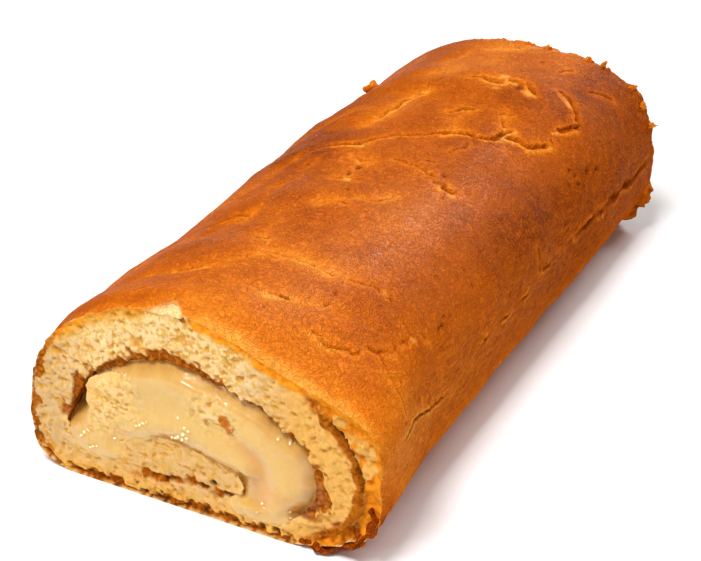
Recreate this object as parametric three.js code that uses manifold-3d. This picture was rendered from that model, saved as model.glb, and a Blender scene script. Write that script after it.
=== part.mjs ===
// A custard swiss roll: a browned sponge sheet rolled up with a custard filling, cut square at both
// ends and lying on its flat underside.
// Millimetres. +Z is up, +Y runs along the roll away from the front cut, +X is to the right of that cut.
import * as THREE from 'three';
import { mergeVertices } from 'three/addons/utils/BufferGeometryUtils.js';
import Module from 'manifold-3d';

const wasm = await Module();
wasm.setup();

// Driving dimensions
const LENGTH = 242;
const WIDTH = 121;
const HEIGHT = 70.5;
const CLEARANCE = 0.3; // between sponge and custard
const END_COAT = 3.3; // custard smeared over the ends of the inner turn

// Cross-section: an elliptic dome over a squarer belly, which the floor cuts flat
const WAIST = 22; // height of the widest level
const BELLY_DEPTH = 24; // reaches below the floor, so that the underside is flat
const DOME_POWER = 2;
const LEFT_BELLY_POWER = 4.5;
const RIGHT_BELLY_POWER = 2.3;
const SHOULDER_POWER = 2.78; // fuller right shoulder behind the cut
const SHOULDER_INSET = 3.2; // the body is narrower on the right than the cut
const SETTLE = 50; // length over which the sagging cut grows into the full body
const RIM_ROUND = 2; // how far the crust turns in at a cut
const RIM_REACH = 8;

// Grid of the outer skin
const AROUND = 62;
const ALONG = 38;

const FRONT = -LENGTH / 2;
const BACK = LENGTH / 2;
const FAR = 2 * LENGTH; // larger than the whole cake

const radians = THREE.MathUtils.degToRad;
const ramp = THREE.MathUtils.smoothstep;
const bump = (value, centre, reach) => Math.exp(-(((value - centre) / reach) ** 2));
const signedPower = (value, power) => Math.sign(value) * Math.abs(value) ** power;

// Solids and booleans

function toSolid(geometry) {
  const bare = geometry.index ? geometry.toNonIndexed() : geometry.clone();
  bare.deleteAttribute('normal');
  bare.deleteAttribute('uv');
  const merged = mergeVertices(bare, 1e-4);
  return new wasm.Manifold(new wasm.Mesh({
    numProp: 3,
    vertProperties: new Float32Array(merged.attributes.position.array),
    triVerts: new Uint32Array(merged.index.array),
  }));
}

function toGeometry(solid) {
  const { vertProperties, triVerts } = solid.getMesh();
  const geometry = new THREE.BufferGeometry();
  geometry.setAttribute('position', new THREE.BufferAttribute(vertProperties, 3));
  geometry.setIndex(new THREE.BufferAttribute(triVerts, 1));
  geometry.computeVertexNormals();
  return geometry;
}

// A closed smooth loop through points given as [x, z], sampled evenly
function smoothLoop(points, samples) {
  const knots = points.map(([x, z]) => new THREE.Vector3(x, z, 0));
  const curve = new THREE.CatmullRomCurve3(knots, true, 'centripetal');
  return curve.getSpacedPoints(samples).slice(0, -1).map((p) => new THREE.Vector2(p.x, p.y));
}

// The loop moved outwards by a distance, or inwards by a negative one
function growLoop(loop, distance) {
  const outward = THREE.ShapeUtils.isClockWise(loop) ? -distance : distance;
  return loop.map((point, i) => {
    const before = loop.at(i - 1);
    const after = loop[(i + 1) % loop.length];
    const run = after.clone().sub(before).normalize();
    return new THREE.Vector2(point.x + outward * run.y, point.y - outward * run.x);
  });
}

// A bar with the loop as its cross-section, from one place along the roll to another
function bar(loop, from, to) {
  const geometry = new THREE.ExtrudeGeometry(new THREE.Shape(loop), {
    depth: to - from,
    bevelEnabled: false,
  });
  return toSolid(geometry.rotateX(Math.PI / 2).translate(0, to, 0));
}

// A rough lump with few sides, as wide, long and high as its size says
function lump(centre, size, turn) {
  const geometry = new THREE.IcosahedronGeometry(0.5, 0);
  geometry.scale(...size).rotateY(radians(turn)).rotateZ(radians(1.7 * turn));
  return toSolid(geometry.translate(...centre));
}

// Outer skin

// Shallow creases that cross the roll, the rounded rims, and the dip and lip of the sagging right side
function relief(degrees, y) {
  const slant = 0.13 * degrees;
  const ripples = Math.sin((y + slant) / 6.1) + 0.8 * Math.sin((y - 1.6 * slant) / 9.7 + 1.3);
  const swell = Math.sin(y / 31 + 0.5) * bump(degrees, 150, 40);
  const nearRim = 1 - ramp(BACK - Math.abs(y), 0, RIM_REACH);
  const overTop = ramp(degrees, 30, 55) - ramp(degrees, 165, 185);
  const nearCut = 1 - ramp(y - FRONT, 0, SETTLE);
  const sag = -3 * bump(degrees, 62, 20) + 7.2 * bump(degrees, 23, 13);
  return 0.35 * ripples + 0.9 * swell - RIM_ROUND * nearRim * overTop + nearCut * sag;
}

function skinPoint(degrees, y) {
  const settled = ramp(y - FRONT, 0, SETTLE);
  const cos = Math.cos(radians(degrees));
  const sin = Math.sin(radians(degrees));
  const right = cos > 0 ? settled : 0;
  const dome = THREE.MathUtils.lerp(DOME_POWER, SHOULDER_POWER, right);
  const belly = cos > 0 ? RIGHT_BELLY_POWER : LEFT_BELLY_POWER;
  const power = sin > 0 ? dome : belly;
  const rise = sin > 0 ? HEIGHT - WAIST : BELLY_DEPTH;
  const reach = WIDTH / 2 - SHOULDER_INSET * right;
  const x = reach * signedPower(cos, 2 / power);
  const z = WAIST + rise * signedPower(sin, 2 / power);
  const lift = relief(degrees, y) * Math.max(sin + 0.25, 0);
  return new THREE.Vector3(x + lift * cos, y, z + lift * sin);
}

// The whole outer skin, a little longer than the cake, before the cuts and the floor trim it
function skinSolid() {
  const overrun = 4;
  const turn = (i) => (360 * i) / AROUND;
  const circle = Array.from({ length: AROUND }, (_, i) => radians(turn(i)))
    .map((angle) => new THREE.Vector2(Math.cos(angle), Math.sin(angle)));
  const geometry = new THREE.ExtrudeGeometry(new THREE.Shape(circle), {
    depth: LENGTH + 2 * overrun,
    steps: ALONG,
    bevelEnabled: false,
  });
  geometry.rotateX(Math.PI / 2).translate(0, BACK + overrun, 0);
  const position = geometry.attributes.position;
  for (let i = 0; i < position.count; i += 1) {
    const degrees = THREE.MathUtils.radToDeg(Math.atan2(position.getZ(i), position.getX(i)));
    const index = Math.round((degrees * AROUND) / 360);
    const point = skinPoint(turn((index + AROUND) % AROUND), position.getY(i));
    position.setXYZ(i, point.x, point.y, point.z);
  }
  return toSolid(geometry);
}

// Cut-face layout, seen from the front: [x, z]

// The hollow that the sheet is rolled round: under the ring, over the floor layer, round the tongue
const HOLLOW = [
  [-45, 15], [-46, 23], [-42.5, 33], [-33.5, 42.5], [-20, 50], [-7, 53], [4, 51], [14, 47.5],
  [24, 43.5], [33, 37.5], [39, 30], [40, 21], [37, 13.5], [30, 9], [20, 8],
  [8, 8.4], [-4, 8.4], [-14, 8.2], [-16, 9], [-14, 9.8], [-4, 10.2], [7, 10.4],
  [13.5, 12], [14.6, 15], [11, 19.5], [4, 21.8], [-4, 23.4], [-11, 24], [-19, 22],
  [-27, 18], [-35, 14], [-41, 12.4],
];

// The innermost turn: from its free end at the left over to the right and down into the tongue
const INNER_TURN = [
  [-38.2, 29], [-36.5, 36.5], [-29, 41], [-18, 43.6], [-6, 44.6], [6, 42.6], [15.5, 37], [21.5, 28],
  [21, 18], [15, 12.6], [9, 14.5], [11, 21], [8.5, 28], [1, 32], [-10, 32], [-20, 29.5], [-28, 24.5],
  [-35, 23.5],
];

// Where the ends of the innermost turn show through the custard
const SHOWING = [
  [[-38, 29], [-36.3, 36], [-29, 40.6], [-21.5, 41], [-19, 35], [-22, 29.4], [-28.5, 25], [-35, 24]],
  [[-1, 36], [1, 42.6], [8, 41], [13, 37.6], [11, 33], [5, 33.4]],
];

// The lip of the outer layer lies over the crust of the ring, with a crevice between them
const CREVICE = [
  [33.5, 56.6], [37, 54], [41, 50], [46.5, 43.4], [51.4, 36.4], [54.2, 29.6], [54.8, 23],
  [54, 23], [52.8, 29], [50, 35.6], [45, 42.4], [39.6, 49], [36, 53],
];
const CREVICE_DEPTH = 18;

// Cracks in the crust, each a path of [degrees round the section, share of the length]
const CRACK_WIDTH = 2;
const CRACKS = [
  [[18, 0.036], [13, 0.1], [7, 0.18], [4.5, 0.255], [8, 0.31], [8, 0.59], [6, 0.757], [8, 0.85], [7, 0.957]],
  [[107.5, 0.498], [91, 0.559], [82, 0.597], [67, 0.632], [51, 0.664], [47, 0.697]],
  [[58, 0.855], [46, 0.795], [50, 0.713]],
  [[54, 0.067], [46, 0.086], [37, 0.127], [29, 0.241]],
];

// A shallow tear in the top: [degrees round the section, share of the length], [across, along, deep]
const TEAR = [81, 0.815];
const TEAR_SIZE = [20, 11, 4];

// Torn bits of crust: [degrees round the section, share of the length, [across, along, high], turn]
const FLAKES = [
  [88, 0.988, [9, 4, 2.6], 10], [69, 0.99, [7, 3.6, 3], 40], [58, 0.985, [5, 3.4, 3.2], 75],
  [41, 0.99, [6.5, 3.8, 3], 20], [31, 0.985, [4.4, 3.4, 3.4], 55], [18, 0.99, [5, 3.4, 3], 80],
  [138, 0.83, [4, 4.6, 4], 30], [106, 0.986, [8, 3.4, 2.4], 5],
];

// Ragged crust squeezed out at the lower right of each cut: [x, depth behind the cut, z, size, turn]
const SQUEEZED = [
  [45, 3.4, 3.7, [9, 6.4, 5], 15], [51, 3.6, 8, [7.4, 6.6, 6], 50], [55, 3.4, 13.6, [6, 6, 7.4], 85],
  [39.5, 3, 2.8, [7, 5.4, 4.2], 120], [57, 5, 20, [5, 7, 6], 140],
];

// Custard smeared by the knife: ridges along a path of [x, z], which stand out of the cut
const SWIRL_RADIUS = 6;
const SWIRL_OUT = 1.6;
const SWIRLS = [
  [[-30, 45], [-16, 47], [0, 46], [15, 42], [27, 34], [31, 23], [26, 13]],
  [[-27, 20], [-16, 27], [-4, 28.5], [8, 25.5], [19, 23]],
];

// Custard sunk behind the cut at the left: [x, z] and its size
const POCKET = [-43, 25];
const POCKET_SIZE = [7, 18, 17];

// A round rod along points in space
function rod(points, radius, sides, steps) {
  const section = Array.from({ length: sides }, (_, i) => (2 * Math.PI * i) / sides)
    .map((angle) => new THREE.Vector2(radius * Math.cos(angle), radius * Math.sin(angle)));
  return toSolid(new THREE.ExtrudeGeometry(new THREE.Shape(section), {
    steps,
    bevelEnabled: false,
    extrudePath: new THREE.CatmullRomCurve3(points),
  }));
}

const skinSpot = (degrees, share) => skinPoint(degrees, FRONT + share * LENGTH);

function crackCutter(path) {
  const points = path.map(([degrees, share]) => skinSpot(degrees, share));
  return rod(points, CRACK_WIDTH / 2, 5, 5 * path.length);
}

// A lump on the skin, its height pointing out of it
function skinLump(degrees, share, size, turn) {
  const geometry = new THREE.IcosahedronGeometry(0.5, 0).rotateZ(radians(turn)).scale(...size);
  geometry.rotateY(radians(90 - degrees));
  return toSolid(geometry.translate(...skinSpot(degrees, share).toArray()));
}

function spongeSolid(hollow, innerTurn, showing, crevice) {
  let solid = skinSolid().subtract(bar(hollow, -FAR, FAR));
  solid = solid.add(bar(innerTurn, FRONT + END_COAT, BACK - END_COAT));
  for (const patch of showing) {
    solid = solid.add(bar(patch, -FAR, FAR));
  }
  for (const path of CRACKS) {
    solid = solid.subtract(crackCutter(path));
  }
  solid = solid.subtract(skinLump(...TEAR, TEAR_SIZE, 0));
  for (const [degrees, share, size, turn] of FLAKES) {
    solid = solid.add(skinLump(degrees, share, size, turn));
  }
  for (const [x, depth, z, size, turn] of SQUEEZED) {
    for (const y of [FRONT + depth, BACK - depth]) {
      solid = solid.add(lump([x, y, z], size, turn));
    }
  }
  for (const end of [FRONT, BACK]) {
    solid = solid.subtract(bar(crevice, end - CREVICE_DEPTH, end + CREVICE_DEPTH));
  }
  const betweenCuts = new THREE.BoxGeometry(FAR, LENGTH, FAR).translate(0, 0, FAR / 2);
  return solid.intersect(toSolid(betweenCuts));
}

function custardSolid(hollow, innerTurn, showing) {
  const filling = growLoop(hollow, -CLEARANCE);
  const coat = END_COAT - CLEARANCE;
  const sunk = BACK - SWIRL_RADIUS + SWIRL_OUT;
  let solid = bar(filling, FRONT, BACK);
  for (const side of [-1, 1]) {
    for (const path of SWIRLS) {
      const points = path.map(([x, z]) => new THREE.Vector3(x, side * sunk, z));
      solid = solid.add(rod(points, SWIRL_RADIUS, 10, 3 * path.length));
    }
    const [x, z] = POCKET;
    const pocket = new THREE.SphereGeometry(0.5, 14, 9).scale(...POCKET_SIZE);
    solid = solid.subtract(toSolid(pocket.translate(x, side * BACK, z)));
  }
  solid = solid.intersect(bar(filling, -FAR, FAR));
  solid = solid.subtract(bar(growLoop(innerTurn, CLEARANCE), FRONT + coat, BACK - coat));
  for (const patch of showing) {
    solid = solid.subtract(bar(growLoop(patch, CLEARANCE), -FAR, FAR));
  }
  return solid;
}

function namedMesh(name, solid, color, roughness) {
  const material = new THREE.MeshStandardMaterial({ color, roughness, metalness: 0 });
  const mesh = new THREE.Mesh(toGeometry(solid), material);
  mesh.name = name;
  return mesh;
}

const hollow = smoothLoop(HOLLOW, 110);
const innerTurn = smoothLoop(INNER_TURN, 54);
const showing = SHOWING.map((points) => smoothLoop(points, 20));
const crevice = smoothLoop(CREVICE, 30);

const roll = new THREE.Group();
roll.add(namedMesh('sponge', spongeSolid(hollow, innerTurn, showing, crevice), 0xc8813a, 0.6));
roll.add(namedMesh('custard', custardSolid(hollow, innerTurn, showing), 0xf0d68c, 0.3));

export default roll;
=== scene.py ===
import math
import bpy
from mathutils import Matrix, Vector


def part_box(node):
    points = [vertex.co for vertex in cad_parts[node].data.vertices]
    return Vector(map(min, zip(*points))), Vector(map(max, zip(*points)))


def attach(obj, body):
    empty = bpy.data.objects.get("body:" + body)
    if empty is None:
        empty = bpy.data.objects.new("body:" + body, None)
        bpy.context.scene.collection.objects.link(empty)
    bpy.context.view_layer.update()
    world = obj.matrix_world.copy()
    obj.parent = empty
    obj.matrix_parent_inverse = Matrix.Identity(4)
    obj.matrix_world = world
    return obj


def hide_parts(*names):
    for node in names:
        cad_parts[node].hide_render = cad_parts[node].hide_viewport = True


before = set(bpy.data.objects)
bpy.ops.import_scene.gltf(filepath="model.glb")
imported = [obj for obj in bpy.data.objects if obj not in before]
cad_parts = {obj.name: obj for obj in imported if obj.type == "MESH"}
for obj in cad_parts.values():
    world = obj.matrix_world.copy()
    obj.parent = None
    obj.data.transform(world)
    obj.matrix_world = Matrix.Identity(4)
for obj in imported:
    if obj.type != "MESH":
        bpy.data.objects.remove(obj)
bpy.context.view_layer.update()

from types import SimpleNamespace

import bmesh
import bpy
import numpy as np
from mathutils import Matrix, Vector, geometry

# All shapes are worked out in millimetres and turned into metres when a mesh is made.
MM = 0.001
sponge_low, sponge_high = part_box("sponge")
LENGTH = round((sponge_high.y - sponge_low.y) / MM, 3)
FRONT = -LENGTH / 2
BACK = LENGTH / 2

# Cross-section of the outer skin
WIDTH = 121
HEIGHT = 70.5
WAIST = 22
BELLY_DEPTH = 24
DOME_POWER = 2
LEFT_BELLY_POWER = 4.5
RIGHT_BELLY_POWER = 2.3
SHOULDER_POWER = 2.78
SHOULDER_INSET = 3.2
SETTLE = 50
RIM_ROUND = 2
RIM_REACH = 8
BASE_RIGHT = -64.8  # where the skin meets the flat underside, degrees round the section
BASE_LEFT = 235.3

# Mesh pitches
SKIN_PITCH = 1.3
PLAIN_PITCH = 1.9  # on the lower flanks, beyond these angles
PLAIN_RIGHT = -12
PLAIN_LEFT = 155
CRACK_PITCH = 0.5
FACE_PITCH = 0.5
BACK_PITCH = 0.78
CUSTARD_PITCH = 0.55
GLINT_PITCH = 0.22
ROUND_PITCH = 0.9  # of the rims of the cuts
EDGE_PITCH = 1.2  # of the lower edges along the roll
BASE_PITCH = 8
SKIN_CLEAR = 0.45  # how far inner points keep from the rims of the skin
CUT_CLEAR = 0.45  # the same on the cuts, as a share of the pitch
FAR = 1e3  # stands for any distance that is too long to matter

chance = np.random.default_rng(11)


# Numbers

def ramp(value, low, high):
    """0 up to low, 1 from high on, smooth between."""
    share = np.clip((value - low) / (high - low), 0, 1)
    return share * share * (3 - 2 * share)


def fade(value, low, high):
    """1 up to low, 0 from high on, smooth between."""
    return 1 - ramp(value, low, high)


def bump(value, centre, reach):
    """1 at the centre, falling away smoothly on both sides."""
    return np.exp(-(((value - centre) / reach) ** 2))


def most(*values):
    """The largest of several values at each place."""
    return np.maximum.reduce(values)


def signed_power(value, power):
    return np.sign(value) * np.abs(value) ** power


def lattice(cells, seed):
    """A repeatable number between -1 and 1 for each whole-number cell."""
    mixed = np.full(len(cells), seed * 7919 + 17, dtype=np.uint64)
    for axis, factor in enumerate((374761393, 668265263, 2246822519)[:cells.shape[1]]):
        mixed += cells[:, axis].astype(np.uint64) * np.uint64(factor)
    mixed = (mixed ^ (mixed >> np.uint64(13))) * np.uint64(1274126177)
    mixed = (mixed ^ (mixed >> np.uint64(16))) * np.uint64(2654435761)
    return ((mixed >> np.uint64(8)) & np.uint64(0xFFFF)).astype(float) / 32767.5 - 1


def noise(points, size, seed):
    """Smooth noise between -1 and 1 in blobs about as wide as size."""
    scaled = points / size
    cells = np.floor(scaled).astype(np.int64)
    part = scaled - cells
    part = part * part * (3 - 2 * part)
    total = np.zeros(len(points))
    for corner in np.ndindex(*(2,) * points.shape[1]):
        weight = np.prod(np.where(corner, part, 1 - part), axis=1)
        total += weight * lattice(cells + corner, seed)
    return total


def layered(points, size, seed, layers=3):
    """Noise with finer and weaker layers on top."""
    return sum(noise(points, size / 2 ** i, seed + i) / 2 ** i for i in range(layers))


def sway(points, size, seed):
    """Noise that pushes flat points about, so that edges become ragged."""
    return np.column_stack([noise(points, size, seed), noise(points, size, seed + 1)])


def path_distance(points, path):
    """Distance to a path of straight pieces, and its sign: 1 on the left of its run, -1 on the right."""
    path = np.array(path, dtype=float)
    best = np.full(len(points), FAR)
    side = np.ones(len(points))
    for start, end in zip(path[:-1], path[1:]):
        run = end - start
        reach = points - start
        share = np.clip(reach @ run / (run @ run), 0, 1)
        away = np.linalg.norm(reach - share[:, None] * run, axis=1)
        nearer = away < best
        best[nearer] = away[nearer]
        side[nearer] = np.sign(run[0] * reach[:, 1] - run[1] * reach[:, 0])[nearer]
    return best, side


def inside_loop(points, loop):
    """Which points lie inside a closed loop."""
    inside = np.zeros(len(points), dtype=bool)
    x, z = points.T
    for (xa, za), (xb, zb) in zip(loop, np.roll(loop, -1, axis=0)):
        if za != zb:
            crosses = (za > z) != (zb > z)
            inside ^= crosses & (x < xa + (z - za) * (xb - xa) / (zb - za))
    return inside


def near_line(points, line):
    return path_distance(points, line)[0]


def near_loop(points, loop):
    return near_line(points, np.vstack([loop, loop[:1]]))


def depth_in_loop(points, loop):
    """Distance to a loop, negative outside it."""
    return near_loop(points, loop) * np.where(inside_loop(points, loop), 1, -1)


def smooth_loop(points, spacing):
    """A closed smooth loop through points, sampled evenly."""
    knots = np.array(points, dtype=float)
    share = np.linspace(0, 1, 24, endpoint=False)[:, None]
    dense = []
    for i in range(len(knots)):
        before, start, end, after = (knots[(i + k) % len(knots)] for k in (-1, 0, 1, 2))
        gaps = [math.sqrt(np.linalg.norm(b - a)) for a, b in ((before, start), (start, end), (end, after))]
        leave = (start - before) / gaps[0] - (end - before) / (gaps[0] + gaps[1]) + (end - start) / gaps[1]
        arrive = (end - start) / gaps[1] - (after - start) / (gaps[1] + gaps[2]) + (after - end) / gaps[2]
        leave, arrive = leave * gaps[1], arrive * gaps[1]
        dense.append(start + leave * share + (3 * (end - start) - 2 * leave - arrive) * share ** 2
                     + (2 * (start - end) + leave + arrive) * share ** 3)
    return evenly(np.vstack(dense + [knots[:1]]), spacing)[:-1]


def evenly(line, spacing):
    """The line sampled again at an even spacing."""
    steps = np.linalg.norm(np.diff(line, axis=0), axis=1)
    along = np.concatenate([[0], np.cumsum(steps)])
    count = max(int(round(along[-1] / spacing)), 1)
    at = np.linspace(0, along[-1], count + 1)
    return np.column_stack([np.interp(at, along, line[:, k]) for k in range(line.shape[1])])


def grow_loop(loop, distance):
    """The loop moved outwards by a distance, one for all points or one for each."""
    x, z = loop.T
    area = np.sum(x * np.roll(z, -1) - np.roll(x, -1) * z)
    run = np.roll(loop, -1, axis=0) - np.roll(loop, 1, axis=0)
    run /= np.linalg.norm(run, axis=1)[:, None]
    outward = np.column_stack([run[:, 1], -run[:, 0]]) * math.copysign(1, area)
    return loop + outward * np.reshape(distance, (-1, 1))


def scatter(low, high, pitch):
    """Points in a slightly uneven triangular grid over a rectangle."""
    columns = np.arange(low[0], high[0] + pitch, pitch)
    rows = np.arange(low[1], high[1] + pitch, pitch * 0.866)
    x, z = np.meshgrid(columns, rows)
    x = x + 0.5 * pitch * (np.arange(len(rows)) % 2)[:, None]
    points = np.column_stack([x.ravel(), z.ravel()])
    return points + chance.uniform(-0.16, 0.16, points.shape) * pitch


def triangulate(points, loops):
    """Triangles over flat points, kept inside the first loop and outside the others."""
    edges = []
    first = 0
    for loop in loops:
        count = len(loop)
        edges += [(first + i, first + (i + 1) % count) for i in range(count)]
        first += count
    flat = np.vstack(list(loops) + [points])
    found = geometry.delaunay_2d_cdt([Vector(p) for p in flat.tolist()], edges, [], 0, 1e-6)
    corners = np.array([tuple(v) for v in found[0]])
    faces = np.array(found[2])
    middles = corners[faces].mean(axis=1)
    keep = inside_loop(middles, loops[0])
    for loop in loops[1:]:
        keep &= ~inside_loop(middles, loop)
    return corners, faces[keep]


# Outer skin

def skin_relief(degrees, y):
    """Shallow creases across the roll, rounded rims, and the dip and lip of the sagging right side."""
    slant = 0.13 * degrees
    ripples = np.sin((y + slant) / 6.1) + 0.8 * np.sin((y - 1.6 * slant) / 9.7 + 1.3)
    swell = np.sin(y / 31 + 0.5) * bump(degrees, 150, 40)
    near_rim = fade(BACK - np.abs(y), 0, RIM_REACH)
    over_top = ramp(degrees, 30, 55) - ramp(degrees, 165, 185)
    near_cut = fade(y - FRONT, 0, SETTLE)
    sag = -3 * bump(degrees, 62, 20) + 7.2 * bump(degrees, 23, 13)
    return 0.35 * ripples + 0.9 * swell - RIM_ROUND * near_rim * over_top + near_cut * sag


def skin_point(degrees, y):
    """Points on the skin and the direction in which relief lifts them."""
    cos, sin = np.cos(np.radians(degrees)), np.sin(np.radians(degrees))
    right = np.where(cos > 0, ramp(y - FRONT, 0, SETTLE), 0)
    dome = DOME_POWER + (SHOULDER_POWER - DOME_POWER) * right
    belly = np.where(cos > 0, RIGHT_BELLY_POWER, LEFT_BELLY_POWER)
    power = np.where(sin > 0, dome, belly)
    rise = np.where(sin > 0, HEIGHT - WAIST, BELLY_DEPTH)
    reach = WIDTH / 2 - SHOULDER_INSET * right
    x = reach * signed_power(cos, 2 / power)
    z = WAIST + rise * signed_power(sin, 2 / power)
    lift = skin_relief(degrees, y) * np.maximum(sin + 0.25, 0)
    points = np.column_stack([x + lift * cos, y, np.maximum(z + lift * sin, 0)])
    return points, np.column_stack([cos, 0 * y, sin])


# Distance round the section for each angle, so that the skin can be laid out flat
TABLE_DEGREES = np.linspace(BASE_RIGHT, BASE_LEFT, 900)
section = skin_point(TABLE_DEGREES, np.zeros(len(TABLE_DEGREES)))[0]
TABLE_AROUND = np.concatenate([[0], np.cumsum(np.linalg.norm(np.diff(section, axis=0), axis=1))])
GIRTH = TABLE_AROUND[-1]


def around_of(degrees):
    return np.interp(degrees, TABLE_DEGREES, TABLE_AROUND)


def degrees_of(around):
    return np.interp(around, TABLE_AROUND, TABLE_DEGREES)


# Marks in the crust: places are (degrees round the section, share of the length), paths run to the right

# Pale valleys between the browned pillows
VALLEYS = [
    [(124, .19), (116, .20), (113, .22), (113, .245), (109, .25), (110, .265), (108, .28), (109, .32),
     (109, .36)],
    [(118, .085), (106, .092), (99, .11), (95, .13), (91, .155), (89, .172), (84, .174), (73, .167),
     (67, .172)],
    [(97, .244), (94, .21), (92, .19), (90, .17)],
    [(97, .465), (92, .445), (92, .415), (90, .40)],
    [(106, .582), (105, .608), (102, .63), (102, .68), (104, .714), (101, .735)],
    [(90, .315), (89, .332), (84, .35), (78, .382)],
    [(108, .80), (101, .817)],
    [(106, .867), (102, .90)],
    [(87, .666), (85, .69), (83, .68), (84, .64), (82, .61)],
    [(73, .71), (70, .68), (67, .65)],
    [(96, .93), (88, .955), (80, .99)],
    [(132, .3), (126, .36), (121, .43), (117, .46)],
    [(150, .22), (143, .27), (139, .33), (132, .42)],
    [(146, .55), (138, .58), (128, .61), (121, .66)],
    [(160, .72), (149, .73), (140, .76)],
    [(152, .06), (140, .09), (131, .14)],
    [(79, .085), (69, .108), (63, .117)],
]

# Cracks: half of the width in millimetres, path
CRACKS = [
    (0.4, [(117, .462), (110, .486), (107, .494)]),
    (0.9, [(107, .494), (103, .504), (100, .508)]),
    (0.6, [(100, .508), (97, .522), (93, .54)]),
    (0.5, [(93, .54), (92, .556), (87, .574), (84, .588)]),
    (1.1, [(84, .588), (81, .608), (77, .61)]),
    (0.9, [(77, .61), (75, .606), (70, .618), (68, .632), (68, .656), (66, .666)]),
    (0.9, [(65, .648), (59, .656), (56, .654), (53, .666), (50, .688)]),
    (0.5, [(72, .698), (69, .674)]),
    (0.5, [(75, .704), (74, .718), (71, .718)]),
    (0.4, [(67, .606), (64, .612)]),
    (0.4, [(74, .594), (72, .588)]),
    (0.4, [(76, .538), (76, .552), (74, .566), (74, .582)]),
    (0.5, [(87, .666), (86, .692), (83, .696)]),
    (0.5, [(105, .608), (103, .65), (104, .69), (102, .73)]),
    (0.45, [(72, .454), (69, .456)]),
    (1.0, [(68.5, .453), (64.5, .452)]),
    (0.4, [(64, .456), (62, .454)]),
    (0.4, [(66, .44), (65, .426)]),
    (0.45, [(87, .478), (80, .476), (77, .47), (74, .466)]),
    (0.35, [(80, .494), (78, .498)]),
    (0.4, [(97, .468), (94, .458), (90, .462)]),
    (0.5, [(95, .392), (92, .40)]),
    (0.45, [(90, .31), (89, .33), (86, .322)]),
    (0.45, [(84, .35), (80, .35), (78, .382)]),
    (0.4, [(110, .414), (108, .438)]),
    (0.5, [(90, .794), (88, .806)]),
    (1.3, [(88, .806), (86, .802), (84, .802)]),
    (0.9, [(81, .812), (75, .814)]),
    (0.8, [(74, .806), (71, .792)]),
    (0.7, [(64, .836), (59, .832), (52, .814), (49, .798)]),
    (0.9, [(51, .746), (50, .758), (48, .778)]),
    (0.5, [(51, .71), (49, .708)]),
    (0.5, [(71, .906), (70, .922), (68, .928)]),
    (0.5, [(54, .895), (48, .915), (43, .928)]),
    (0.5, [(60, .072), (58, .074)]),
    (0.4, [(57, .066), (54, .064), (50, .072)]),
    (0.35, [(50, .072), (49, .077), (47, .075), (46, .084)]),
    (0.4, [(44, .098), (41, .102), (37, .124)]),
    (0.4, [(36, .144), (35, .154)]),
    (0.35, [(40, .174), (34, .166)]),
    (0.35, [(33, .188), (30, .19)]),
    (0.35, [(80, .094), (78, .096), (74, .10)]),
    (0.35, [(86, .09), (82, .09)]),
    (0.25, [(40, .106), (33, .088), (22, .078)]),
    (0.35, [(19, .514), (10, .513)]),
    (0.4, [(108, .096), (105, .10), (102, .108)]),
    (0.4, [(121, .238), (117, .25), (113, .266), (109, .27)]),
    (0.35, [(96, .20), (94, .207), (92, .205)]),
    (0.35, [(90, .166), (87, .168), (85, .176)]),
    (0.35, [(112, .03), (109, .034)]),
    (0.3, [(84, .173), (77, .171), (72, .167)]),
    (0.3, [(66, .17), (60, .177), (54, .182)]),
    (0.4, [(112, .36), (109, .37), (107, .385)]),
]

# The long edge of the sheet along the right flank
SEAM = [(18, .036), (13, .11), (8, .154), (4, .24), (5, .27), (7, .30), (8, .34), (8, .41), (7, .47),
        (10, .52), (9, .60), (8.5, .67), (7, .74), (6, .77), (6, .81), (7, .85), (5, .90), (5, .93), (5, 1.0)]

# Dark holes, and bits of crumb that show: degrees, share of the length, radius
HOLES_IN_CRUST = [
    (71.5, .476, 1.0), (92.5, .444, 1.3), (92.5, .418, 1.4), (89, .406, .7), (89, .362, .7), (78.5, .918, .8),
    (77.5, .799, 2.4), (85, .802, 1.5), (52, .814, 1.1), (46.5, .788, 1.2), (5.2, .93, 1.1), (6, .884, 1.9),
    (6.4, .866, 2.1), (7.4, .814, 1.8), (7.4, .798, 1.9), (6.4, .762, 1.2), (34.5, .696, .8),
    (30.5, .704, .7), (25.5, .702, 1.2), (27, .74, .8), (24.5, .772, .9), (36.5, .134, .6), (28, .22, .5),
    (28, .228, .5), (29.5, .238, .5), (62, .172, .5), (56.5, .178, .5), (51.5, .186, .5), (65.5, .138, .5),
    (65, .118, .45),
]
HOLE_STRETCH = 1.3  # along the roll
PALE_BITS = [
    (84, .822, 2.0), (83.5, .826, 1.7), (83.5, .776, 2.0), (72.5, .782, 2.3), (74, .786, 1.8),
    (66.5, .645, 2.2), (63, .818, 1.5), (60.5, .817, 1.6), (58, .816, 1.7), (55.5, .815, 1.7),
    (51, .731, 1.5), (53, .725, 1.2), (90.5, .40, 1.7), (55, .182, 1.2), (33.5, .164, 1.3), (8.5, .645, 1.3),
    (5, .765, 1.2),
]

# Patches of the crust made darker or paler, the paler one at 76 degrees partly as a painted sheen: change of
# tone, then centre and reach in degrees and in share of the length
TONE_PATCHES = [
    (-0.14, 6, 9, .13, .1), (-0.1, 76, 8, .19, .12), (0.1, 56, 7, .35, .08), (0.07, 96, 16, .42, .13),
    (0.18, 111, 7, .33, .07), (-0.14, 60, 8, .73, .05), (0.06, 43, 8, .33, .07), (0.05, 52, 7, .1, .05),
]

# Stripes made darker along the roll, the two on the right side as painted shade: change of tone, degrees,
# reach, shares where they start and end
DARKER_STRIPES = [
    (0.13, 107, 13, (.03, .1), (.22, .32)),
    (0.08, 29, 12, (.2, .34), (.66, .8)),
    (0.1, 42, 16, (.01, .05), (.36, .48)),
]
CUT_ROUND = 4.5  # how far behind the front cut the crust starts to round off
PIT_COUNT = 110
PIT_MARGIN = 6


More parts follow.
